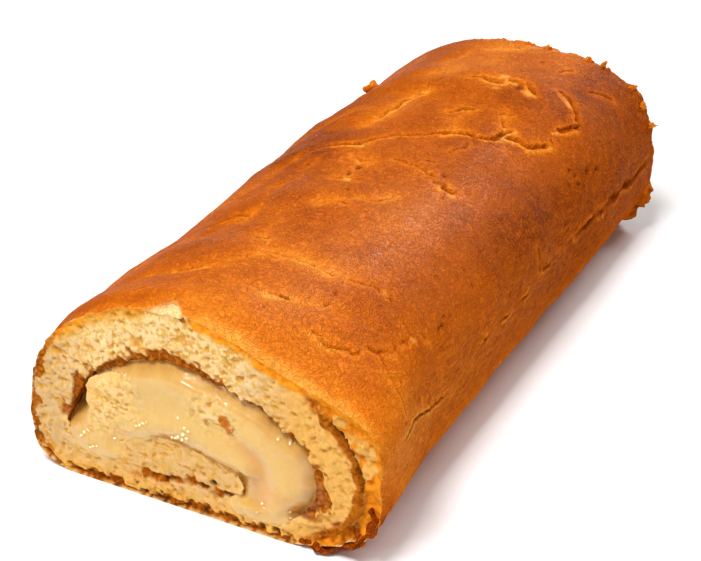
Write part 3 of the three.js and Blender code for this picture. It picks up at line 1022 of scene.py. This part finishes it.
# Torn bits of crust on the skin: degrees round the section, share of the length, across, along, high, turn
FLAKES = [
    (89, .99, 9, 3, 2.2, 10), (83, .992, 3, 2.4, 2.6, 50), (66, .992, 4, 2.6, 2.6, 40),
    (59, .99, 2.0, 1.8, 7.4, 75), (56, .992, 3, 2, 3, 20), (41, .992, 2.2, 2.0, 5.4, 20),
    (30, .99, 3, 2.2, 3.6, 55), (19, .993, 2.2, 2.0, 6.0, 80), (107, .99, 6, 2.6, 2.0, 5),
    (98, .992, 3, 2.2, 1.8, 35), (138, .83, 4.6, 5.4, 4.6, 30),
]


def lump(size, turn, seed):
    """A ragged lump about its own centre, with its height along +Z."""
    work = bmesh.new()
    bmesh.ops.create_icosphere(work, subdivisions=3, radius=0.5)
    ball = np.array([tuple(v.co) for v in work.verts])
    faces = np.array([[v.index for v in face.verts] for face in work.faces])
    work.free()
    ball *= 1 + (0.6 * noise(ball, 0.3, seed) + 0.4 * noise(ball, 0.14, seed + 1))[:, None]
    ball = ball * size
    cos, sin = math.cos(math.radians(turn)), math.sin(math.radians(turn))
    return ball @ np.array([[cos, sin, 0], [-sin, cos, 0], [0, 0, 1]]), faces


def flakes_piece(material):
    """Torn bits of crust along the far rim, and one crumb on the left side."""
    parts = []
    for i, (degrees, share, across, along, high, turn) in enumerate(FLAKES):
        points, faces = lump((across, along, high), 0.3 * turn, 900 + 2 * i)
        at, outward = skin_point(np.array([float(degrees)]), np.array([FRONT + share * LENGTH]))
        side = np.array([outward[0, 2], 0, -outward[0, 0]])
        placed = points[:, :1] * side + points[:, 1:2] * (0, 1, 0) + points[:, 2:] * outward[0]
        placed = placed + at[0]
        placed[:, 1] = np.minimum(placed[:, 1], BACK + 1.2)
        bake = 0.36 + 0.25 * noise(placed, 2, 77)
        parts.append((placed, faces, 0, {"bake": np.clip(bake, 0, 1)}))
    return finish_mesh("crust_flakes", parts, [material])


# Ragged crust squeezed out under the right side of each cut, a path of (x, z)
FRILL = [(35, 0.9), (40, 2.2), (45, 3.6), (50, 6.2), (54.4, 10), (57.4, 14.6), (58.6, 20)]
FRILL_LONG = 13
FRILL_PITCH = 0.5
FRILL_ROWS = 30


def closed_sheet(outer, inner):
    """A closed body between two grids of points that match."""
    rows, columns = outer.shape[:2]
    half = rows * columns
    points = np.vstack([outer.reshape(-1, 3), inner.reshape(-1, 3)])
    at = np.arange(half).reshape(rows, columns)
    a, b, c, d = at[:-1, :-1].ravel(), at[:-1, 1:].ravel(), at[1:, 1:].ravel(), at[1:, :-1].ravel()
    faces = [np.column_stack([a, b, c]), np.column_stack([a, c, d])]
    faces += [face[:, ::-1] + half for face in faces]
    border = np.concatenate([at[0], at[1:, -1], at[-1, -2::-1], at[-2:0:-1, 0]])
    after = np.roll(border, -1)
    faces.append(np.column_stack([border, after + half, after]))
    faces.append(np.column_stack([border, border + half, after + half]))
    return points, np.vstack(faces)


def frill_piece(material):
    """A wavy lip of crust with a scalloped edge, at both cuts."""
    line = evenly(np.array(FRILL, dtype=float), FRILL_PITCH)
    run = np.gradient(line, axis=0)
    outward = np.column_stack([run[:, 1], -run[:, 0]]) / np.linalg.norm(run, axis=1)[:, None]
    distance = np.arange(len(line)) * FRILL_PITCH
    ends = ramp(distance, 0, 4) * ramp(distance[-1] - distance, 0, 4)
    parts = []
    for end, inward, seed in ((FRONT, 1, 41), (BACK, -1, 47)):
        scallop = noise(np.column_stack([distance, 0 * distance]), 2.6, seed + 2)
        outer, inner, bake = [], [], []
        for share in np.linspace(0, 1, FRILL_ROWS):
            spot = np.column_stack([distance, np.full(len(line), share * FRILL_LONG)])
            ruffle = noise(spot, 3.6, seed) + 0.7 * noise(spot, 1.9, seed + 1)
            stand = ends * ramp(1 - share, 0, 0.5)
            y = end + inward * (-0.4 + 1.4 * scallop) * (1 - share) + inward * share * FRILL_LONG
            lifted = np.maximum(1.5 + 1.7 * ruffle, 0.7) * stand - 1.5 * (1 - stand)
            for rows, offset in ((outer, lifted), (inner, np.maximum(lifted - 0.9 - 7 * share, -2.5))):
                place = line + outward * offset[:, None]
                rows.append(np.column_stack([place[:, 0], y, np.maximum(place[:, 1], 0.05)]))
            # Darker in the dips of the ruffle and paler on its crests: painted shade and highlight
            bake.append(np.clip(0.86 - 0.3 * ruffle - 0.25 * share, 0.4, 1))
        points, faces = closed_sheet(np.stack(outer), np.stack(inner))
        tones = np.concatenate([np.concatenate(bake), np.full(len(points) // 2, 0.9)])
        parts.append((points, faces, 0, {"bake": tones}))
    return finish_mesh("squeezed_crust", parts, [material])


# Wet facets of the custard that catch the light: x, z, radius
GLINTS = [
    (-19.6, 26.4, 0.4), (-18.3, 27.2, 0.45), (-17.1, 28.1, 0.45), (-15.8, 28.9, 0.35), (-7.6, 25.6, 0.5),
    (-6.3, 25.9, 0.5), (-5.1, 26.9, 0.55), (-3.9, 26.2, 0.5), (-3.2, 28.5, 0.55), (-2, 27.4, 0.45),
    (-2.6, 30.8, 0.45), (-1.4, 30.2, 0.35), (-41.2, 15.6, 0.45), (-40, 16.9, 0.45), (-38.6, 18.2, 0.4),
    (-37.2, 19.4, 0.35), (-38.2, 12.1, 0.45), (-36.9, 12.9, 0.45), (-35.4, 13.6, 0.35), (-29, 18, 0.4),
    (-23, 42.4, 0.35), (-21.6, 40.3, 0.4), (-20.6, 39.8, 0.35), (-4.8, 33.5, 0.3), (27.8, 35.6, 0.35),
    (31.2, 34.9, 0.4), (32.4, 35, 0.3), (20.5, 8.3, 0.35), (21.9, 11.1, 0.45), (22.5, 10.2, 0.35),
    (30.7, 10.9, 0.35), (31, 8.7, 0.35),
]
GLINT_REACH = 1.1
FACET_LIFT = 0.15
FACET_SLOPE = (-0.14, -0.675)  # across and up, at x = 0
FACET_TURN = 0.0016  # change of the slope across for each millimetre of x


def near_glint(spots):
    return np.min([np.hypot(spots[:, 0] - x, spots[:, 1] - z) for x, z, _ in GLINTS], axis=0)


def showing_share(spots, low, high):
    """How clearly the end of the innermost turn shows at each spot."""
    ragged = 1.2 * noise(spots, 5, 31) + 0.8 * noise(spots, 2, 32)
    depths = [depth_in_loop(spots, smooth_loop(patch, 1)) for patch in SHOWING]
    return ramp(most(*depths) + ragged, low, high)


def murky_share(spots):
    """The shaded hollow beside the tip of the sheet."""
    x, z = spots.T
    wobble = 0.8 * noise(spots, 3.5, 35)
    across = ramp(23 - x + wobble, 0, 4) * ramp(x, 13, 14.5)
    return across * ramp(20.6 - z + 0.5 * wobble, 0, 1.6) * ramp(z + wobble, 8.5, 12.5)


def soft_height(spots, seed):
    """How far custard and soaked crumb stand out of the cut."""
    x, z = spots.T
    edge = depth_in_loop(spots, hollow_loop)
    roof = near_line(spots, FRINGE_LOW)
    low_edge = ramp(roof, 1, 5)
    height = low_edge * (-0.1 + 0.9 * ramp(edge, 0, 4)) + (1 - low_edge) * (-0.5 + 0.9 * ramp(roof, 0, 5))
    height += 0.9 * bump(near_line(spots, UPPER_RIDGE), 0, 5.5) * ramp(roof, 1, 9)
    height += 0.8 * bump(near_line(spots, LOWER_RIDGE), 0, 4) - 0.9 * bump(near_line(spots, CREASE), 0, 3)
    height += 0.6 * noise(spots * (0.7, 1), 10, seed) + 0.22 * noise(spots, 4.5, seed + 3)
    height += -1.8 * (1 - np.clip(roof / 5, 0, 1)) ** 2 - 1.2 * murky_share(spots)
    height += -6 * bump(x, -43.2, 4.6) * bump(z, 27, 5.5)
    crumby = showing_share(spots, -5, 1)
    height += crumby * (-0.3 * layered(spots, 1.8, seed + 5, 2) - 0.6 * pore_depth(spots, seed))
    film = -0.4 + 0.3 * low_edge + 0.34 * edge
    return np.where(edge < 0, np.minimum(height, film), height)


def filling_height(spots, seed):
    """The soft filling with its small wet facets, each turned up towards the light."""
    height = soft_height(spots, seed)
    levels = soft_height(np.array(GLINTS)[:, :2], seed) + FACET_LIFT
    for (x, z, radius), level in zip(GLINTS, levels):
        away = spots - (x, z)
        share = fade(np.hypot(*away.T), radius, radius + 0.5)
        facet = level + away @ np.array([FACET_SLOPE[0] + FACET_TURN * x, FACET_SLOPE[1]])
        height += share * (facet - height)
    return height


def inner_turn_surface(spots, seed):
    """The end of the innermost turn, rough crumb that shows in two patches."""
    depth = -filling_height(spots, seed)
    depth = np.where(spots[:, 0] < -33, np.minimum(depth, 0.3), depth)
    depth += 3 * (1 - showing_share(spots, -3.2, -1.4))
    bits = within(spots, CRUST_BITS, 0.5 * noise(spots, 1.6, seed + 4))
    return depth, {
        "crusty": ramp(bits, 0.15, 0.8),
        "gold": 0.4 * bits,
        # Painted shade in the pores of the crumb
        "pore": 0.7 * ramp(pore_depth(spots, seed), 0.15, 0.75),
        "soaked": 1 - showing_share(spots, -1.5, 5),
    }


def custard_surface(spots, seed):
    """Soft custard: swirled ridges, sunk under the ring and at the left, thin over the crumb."""
    x, z = spots.T
    height = filling_height(spots, seed) - 2.0 * showing_share(spots, -0.4, 3)
    wet = bump(x, -6, 6) * bump(z, 26, 2.2) + 0.6 * bump(x, 8, 7) * bump(z, 21.6, 1.2)
    roof = near_line(spots, FRINGE_LOW) + 0.8 * noise(spots, 4, 36)
    tip = fade(near_line(spots, TONGUE_TOP) + 0.5 * noise(spots, 2, 37), 0.3, 1.7) * ramp(x, -22, -12)
    pocket = bump(x, -43.5, 4.4) * bump(z, 27, 5.2)
    # Painted shade: a deeper yellow along the fold and in the low parts of the custard; two spots of deeper
    # yellow
    rich = bump(near_line(spots, SHADED_FOLD), 0, 3.2)
    rich += bump(x, 29, 4) * bump(z, 16.5, 2) + bump(x, -30, 7) * bump(z, 21.6, 1.6)
    return -height, {
        # Painted shade under the ring and in the hollow beside the tip of the sheet, with the darker wet
        # patch above the tongue
        "murky": np.clip(0.8 * murky_share(spots) + 0.6 * wet + 0.65 * fade(roof, 1, 9), 0, 1),
        # Painted shade in brown just under the ring and in the pocket at the left, and the wet brown line at
        # the tip of the sheet
        "amber": most(0.75 * fade(roof, 0, 4), tip, 0.9 * pocket),
        "rich": np.clip(0.8 * rich + 0.4 * fade(height, -0.3, 1.6), 0, 1),
        "crumby": showing_share(spots, -5, 1),
        "film": fade(depth_in_loop(spots, hollow_loop), 0.5, 4),
    }


# Materials

class Shader:
    """A material under construction. A string given as a value reads the mesh's values of that name."""

    def __init__(self, name):
        self.material = bpy.data.materials.new(name)
        self.material.use_nodes = True
        self.tree = self.material.node_tree
        self.surface = self.tree.nodes["Principled BSDF"]
        self.place = self.node("TexCoord").outputs["Object"]

    def node(self, kind, inputs=None, **settings):
        made = self.tree.nodes.new("ShaderNode" + kind)
        for key, value in settings.items():
            setattr(made, key, value)
        for key, value in (inputs or {}).items():
            self.feed(made.inputs[key], value)
        return made

    def feed(self, socket, value):
        if isinstance(value, str):
            value = self.node("Attribute", attribute_name=value).outputs["Fac"]
        if isinstance(value, bpy.types.NodeSocket):
            self.tree.links.new(value, socket)
        else:
            socket.default_value = value

    def set(self, **inputs):
        for key, value in inputs.items():
            self.feed(self.surface.inputs[key.replace("_", " ")], value)

    def noise(self, size, detail=3, distortion=0.0, place=None):
        """Noise in blobs of a size in millimetres."""
        return self.node("TexNoise", {
            "Vector": place or self.place,
            "Scale": 1 / (size * MM),
            "Detail": detail,
            "Distortion": distortion,
        }).outputs["Fac"]

    def cells(self, size):
        return self.node("TexVoronoi", {"Vector": self.place, "Scale": 1 / (size * MM)}).outputs["Distance"]

    def spread(self, fac, low, high, to_low=0.0, to_high=1.0):
        return self.node("MapRange", {
            "Value": fac, "From Min": low, "From Max": high, "To Min": to_low, "To Max": to_high,
        }).outputs["Result"]

    def math(self, operation, a, b=0.0):
        return self.node("Math", {0: a, 1: b}, operation=operation).outputs["Value"]

    def plus(self, a, b):
        return self.math("ADD", a, b)

    def times(self, a, b):
        return self.math("MULTIPLY", a, b)

    def stops(self, fac, *stops):
        """Colours at places along a value."""
        made = self.node("ValToRGB", {"Fac": fac})
        elements = made.color_ramp.elements
        while len(elements) < len(stops):
            elements.new(0.5)
        for element, (at, colour) in zip(elements, stops):
            element.position = at
            element.color = (*colour, 1)
        return made.outputs["Color"]

    def mix(self, fac, a, b):
        made = self.node("Mix", data_type="RGBA")
        for socket, value in zip((made.inputs[0], made.inputs[6], made.inputs[7]), (fac, a, b)):
            if isinstance(value, tuple):
                value = (*value, 1)
            self.feed(socket, value)
        return made.outputs[2]

    def bump(self, height, strength, distance):
        inputs = {"Height": height, "Strength": strength, "Distance": distance * MM}
        return self.node("Bump", inputs).outputs["Normal"]


def crust_material():
    shader = Shader("browned crust")
    mottle = shader.noise(5, 2)
    speckle = shader.noise(0.7, 3)
    worms = shader.noise(1.9, 1, 1.5)
    ridge = shader.math("ABSOLUTE", shader.math("SUBTRACT", worms, 0.5))
    ridge = shader.spread(ridge, 0.10, 0.01)
    along = shader.node("Mapping", {"Vector": shader.place, "Scale": (1, 0.22, 1)}).outputs["Vector"]
    streaks = shader.spread(shader.noise(1.1, 2, 0.3, along), 0.3, 0.7, -1, 1)
    streaks = shader.times(streaks, "pleat")
    tone = shader.plus("bake", shader.spread(mottle, 0.3, 0.7, -0.05, 0.05))
    tone = shader.plus(tone, shader.spread(speckle, 0.3, 0.7, -0.05, 0.05))
    # Paler along the raised wrinkle lines and darker between them: partly painted highlight and shade on the
    # wrinkles
    tone = shader.plus(tone, shader.spread(ridge, 0, 1, 0.08, -0.12))
    tone = shader.math("SUBTRACT", tone, shader.times(streaks, 0.14))
    colour = shader.stops(
        tone,
        (0.0, (0.95, 0.38, 0.05)),
        (0.28, (0.84, 0.215, 0.010)),
        (0.58, (0.60, 0.120, 0.004)),
        (0.82, (0.41, 0.074, 0.004)),
        (1.0, (0.17, 0.028, 0.004)),
    )
    # Cracks, seam, holes and pits drawn darker: partly their own colour, partly painted shade
    colour = shader.mix(shader.spread("dark", 0, 0.8), colour, (0.33, 0.056, 0.003))
    colour = shader.mix(shader.spread("dark", 0.75, 1.0, 0, 0.8), colour, (0.10, 0.018, 0.002))
    crumb = shader.stops(speckle, (0.3, (0.95, 0.62, 0.22)), (0.6, (1.0, 0.76, 0.36)))
    colour = shader.mix("bare", colour, crumb)
    height = shader.plus(shader.times(ridge, 0.9), shader.times(speckle, 0.6))
    height = shader.plus(height, shader.times(streaks, 1.2))
    shader.set(
        Base_Color=colour,
        Roughness=shader.spread(speckle, 0.3, 0.7, 0.36, 0.46),
        Specular_IOR_Level=shader.times("gloss", 0.4),
        Specular_Tint=(1.0, 0.62, 0.36, 1),
        Subsurface_Weight=0.1,
        Subsurface_Radius=(1.0, 0.35, 0.12),
        Subsurface_Scale=1.4 * MM,
        Coat_Weight=shader.times("gloss", 0.08),
        Coat_Roughness=0.2,
        Coat_IOR=1.4,
        Normal=shader.bump(height, 1.0, 0.35),
        Coat_Normal=shader.bump(height, 1.0, 0.5),
    )
    return shader.material


def crumb_material():
    shader = Shader("sponge crumb")
    grain = shader.noise(1.5, 4)
    fine = shader.noise(0.45, 3)
    tint = shader.noise(7, 2)
    specks = shader.spread(shader.cells(1.2), 0.32, 0.16)
    specks = shader.times(specks, shader.spread(tint, 0.42, 0.6, 0.2, 0.7))
    pale = shader.mix(shader.spread(tint, 0.3, 0.7), (0.85, 0.61, 0.31), (0.80, 0.53, 0.22))
    # Painted shade: a darker crumb colour where the cut face lies in shade
    pale = shader.mix("dim", pale, (0.61, 0.41, 0.21))
    pale = shader.mix("gold", pale, (0.79, 0.39, 0.07))
    # Painted shade: darker golden in the low parts of the grain, in the specks and in the pores
    colour = shader.mix(shader.spread(grain, 0.53, 0.38, 0, 0.85), pale, (0.64, 0.365, 0.08))
    colour = shader.mix(specks, colour, (0.72, 0.38, 0.065))
    colour = shader.mix("pore", colour, (0.62, 0.30, 0.045))
    colour = shader.mix(shader.times("soaked", 0.85), colour, (0.76, 0.46, 0.13))
    toast = shader.stops(
        grain,
        (0.36, (0.20, 0.045, 0.003)),
        (0.50, (0.34, 0.08, 0.005)),
        (0.66, (0.48, 0.15, 0.010)),
    )
    colour = shader.mix("brown", colour, toast)
    dull = shader.stops(grain, (0.35, (0.25, 0.058, 0.003)), (0.65, (0.46, 0.135, 0.008)))
    bright = shader.stops(grain, (0.35, (0.74, 0.21, 0.008)), (0.65, (0.89, 0.33, 0.02)))
    colour = shader.mix("crusty", colour, shader.mix("gold", dull, bright))
    # Holes and the slit drawn darker as painted shade; burnt specks by their own colour
    colour = shader.mix("dark", colour, (0.12, 0.034, 0.005))
    dense = shader.math("MAXIMUM", shader.math("MAXIMUM", "brown", "crusty"), "soaked")
    height = shader.math("SUBTRACT", grain, shader.times(specks, 0.5))
    height = shader.plus(height, shader.times(fine, 0.5))
    shader.set(
        Base_Color=colour,
        Roughness=shader.spread("soaked", 0, 1, 0.85, 0.55),
        Specular_IOR_Level=shader.times("soaked", 0.3),
        Subsurface_Weight=shader.spread(dense, 0, 1, 0.6, 0.0),
        Subsurface_Radius=(1.0, 0.6, 0.25),
        Subsurface_Scale=0.7 * MM,
        Normal=shader.bump(height, 0.35, 0.5),
    )
    return shader.material


def custard_material():
    shader = Shader("custard")
    swirl = shader.noise(11, 2, 1.2)
    soft = shader.noise(4, 2, 0.6)
    fine = shader.noise(1.1, 2)
    grain = shader.noise(1.3, 4)
    colour = shader.mix(shader.spread(swirl, 0.35, 0.65), (0.71, 0.455, 0.108), (0.68, 0.415, 0.085))
    # Deeper yellow, mostly painted shade in the fold and the low parts
    colour = shader.mix("rich", colour, (0.66, 0.33, 0.05))
    # Painted shade under the ring and in the hollow, and the wet patch
    colour = shader.mix("murky", colour, (0.62, 0.34, 0.09))
    # Crumb that shows through: darker golden in the low parts of its grain, painted shade
    crumb = shader.mix(shader.spread(grain, 0.58, 0.36), (0.86, 0.60, 0.27), (0.66, 0.36, 0.07))
    colour = shader.mix(shader.times("crumby", 0.85), colour, crumb)
    # Brown: painted shade under the ring and in the pocket, and the wet line at the tip
    amber = shader.stops(fine, (0.35, (0.36, 0.11, 0.010)), (0.65, (0.54, 0.24, 0.03)))
    colour = shader.mix("amber", colour, amber)
    dry = shader.math("MAXIMUM", "crumby", "amber")
    height = shader.plus(soft, shader.times(fine, 0.10))
    height = shader.plus(height, shader.times(shader.times(grain, "crumby"), 0.8))
    shader.set(
        Base_Color=colour,
        Roughness=shader.plus(shader.spread(soft, 0.35, 0.65, 0.2, 0.34), shader.times("crumby", 0.3)),
        Specular_IOR_Level=shader.spread(dry, 0, 1, 0.5, 0.1),
        Subsurface_Weight=shader.spread("film", 0, 1, 0.75, 0.0),
        Subsurface_Radius=(1.0, 0.6, 0.25),
        Subsurface_Scale=3.0 * MM,
        Coat_Weight=shader.spread(dry, 0, 1, 0.8, 0.1),
        Coat_Roughness=0.08,
        Normal=shader.bump(height, 0.18, 0.8),
    )
    return shader.material


def floor_material():
    shader = Shader("pale floor")
    shade = shader.noise(400, 2)
    shader.set(
        Base_Color=shader.mix(shade, (0.94, 0.94, 0.94), (0.96, 0.96, 0.96)),
        Roughness=0.7,
        Specular_IOR_Level=0.2,
    )
    return shader.material


# Studio

AZIMUTH = 27.6
ELEVATION = 29.07
CAMERA_AT = (218.7, -442.1, 294.1)
LENS = 82.7
FLOOR_REACH = 6


def add_camera():
    turn, tip = math.radians(AZIMUTH), math.radians(ELEVATION)
    right = Vector((math.cos(turn), math.sin(turn), 0))
    behind = Vector((math.sin(turn) * math.cos(tip), -math.cos(turn) * math.cos(tip), math.sin(tip)))
    up = behind.cross(right)
    data = bpy.data.cameras.new("camera")
    data.lens = LENS
    data.sensor_width = 36
    data.clip_start = 0.01
    camera = bpy.data.objects.new("camera", data)
    facing = Matrix((right, up, behind)).transposed().to_4x4()
    camera.matrix_world = Matrix.Translation(Vector(CAMERA_AT) * MM) @ facing
    bpy.context.scene.collection.objects.link(camera)
    bpy.context.scene.camera = camera


def add_light(name, position, size, power, target=(0, 0, 0.03)):
    data = bpy.data.lights.new(name, "AREA")
    data.shape = "RECTANGLE"
    data.size, data.size_y = size
    data.energy = power
    light = bpy.data.objects.new(name, data)
    light.location = position
    aim = Vector(target) - Vector(position)
    light.rotation_euler = aim.to_track_quat("-Z", "Y").to_euler()
    bpy.context.scene.collection.objects.link(light)


def add_studio():
    scene = bpy.context.scene
    scene.view_settings.view_transform = "Standard"
    world = bpy.data.worlds.new("studio")
    world.use_nodes = True
    backdrop = world.node_tree.nodes["Background"].inputs
    backdrop["Color"].default_value = (1, 1, 1, 1)
    backdrop["Strength"].default_value = 0.22
    scene.world = world
    add_light("key", (-0.1, -0.65, 1.32), (0.5, 0.5), 21)
    add_light("front", (0.3, -1.5, 0.6), (0.5, 0.35), 0.4)
    add_light("glint", (-0.3, -1.15, 0.58), (0.18, 0.18), 2.0)
    add_light("back", (0.4, 1.3, 1.1), (0.8, 0.4), 14)
    mesh = bpy.data.meshes.new("floor")
    corners = [(-FLOOR_REACH, -FLOOR_REACH, 0), (FLOOR_REACH, -FLOOR_REACH, 0),
               (FLOOR_REACH, FLOOR_REACH, 0), (-FLOOR_REACH, FLOOR_REACH, 0)]
    mesh.from_pydata(corners, [], [(0, 1, 2, 3)])
    mesh.materials.append(floor_material())
    floor = bpy.data.objects.new("floor", mesh)
    scene.collection.objects.link(floor)


def add_cake():
    crust, crumb, custard = crust_material(), crumb_material(), custard_material()
    roll = sponge_piece([crust, crumb])
    turn = bar_piece("inner_turn", inner_loop, inner_loop, FACE_PITCH, inner_turn_surface, [crumb],
                     TURN_ROWS)
    body_loop = grow_loop(hollow_loop, -0.15)
    overlap = 0.3 + ramp(near_line(hollow_loop, FRINGE_LOW), 1, 4)
    filling = bar_piece("custard_filling", grow_loop(hollow_loop, overlap), body_loop, CUSTARD_PITCH,
                        custard_surface, [custard], FILLING_ROWS)
    flakes = flakes_piece(crust)
    frill = frill_piece(crust)
    for piece in (roll, turn, flakes, frill):
        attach(piece, "root")
        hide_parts("sponge")
    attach(filling, "root")
    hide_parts("custard")


add_camera()
add_studio()
add_cake()
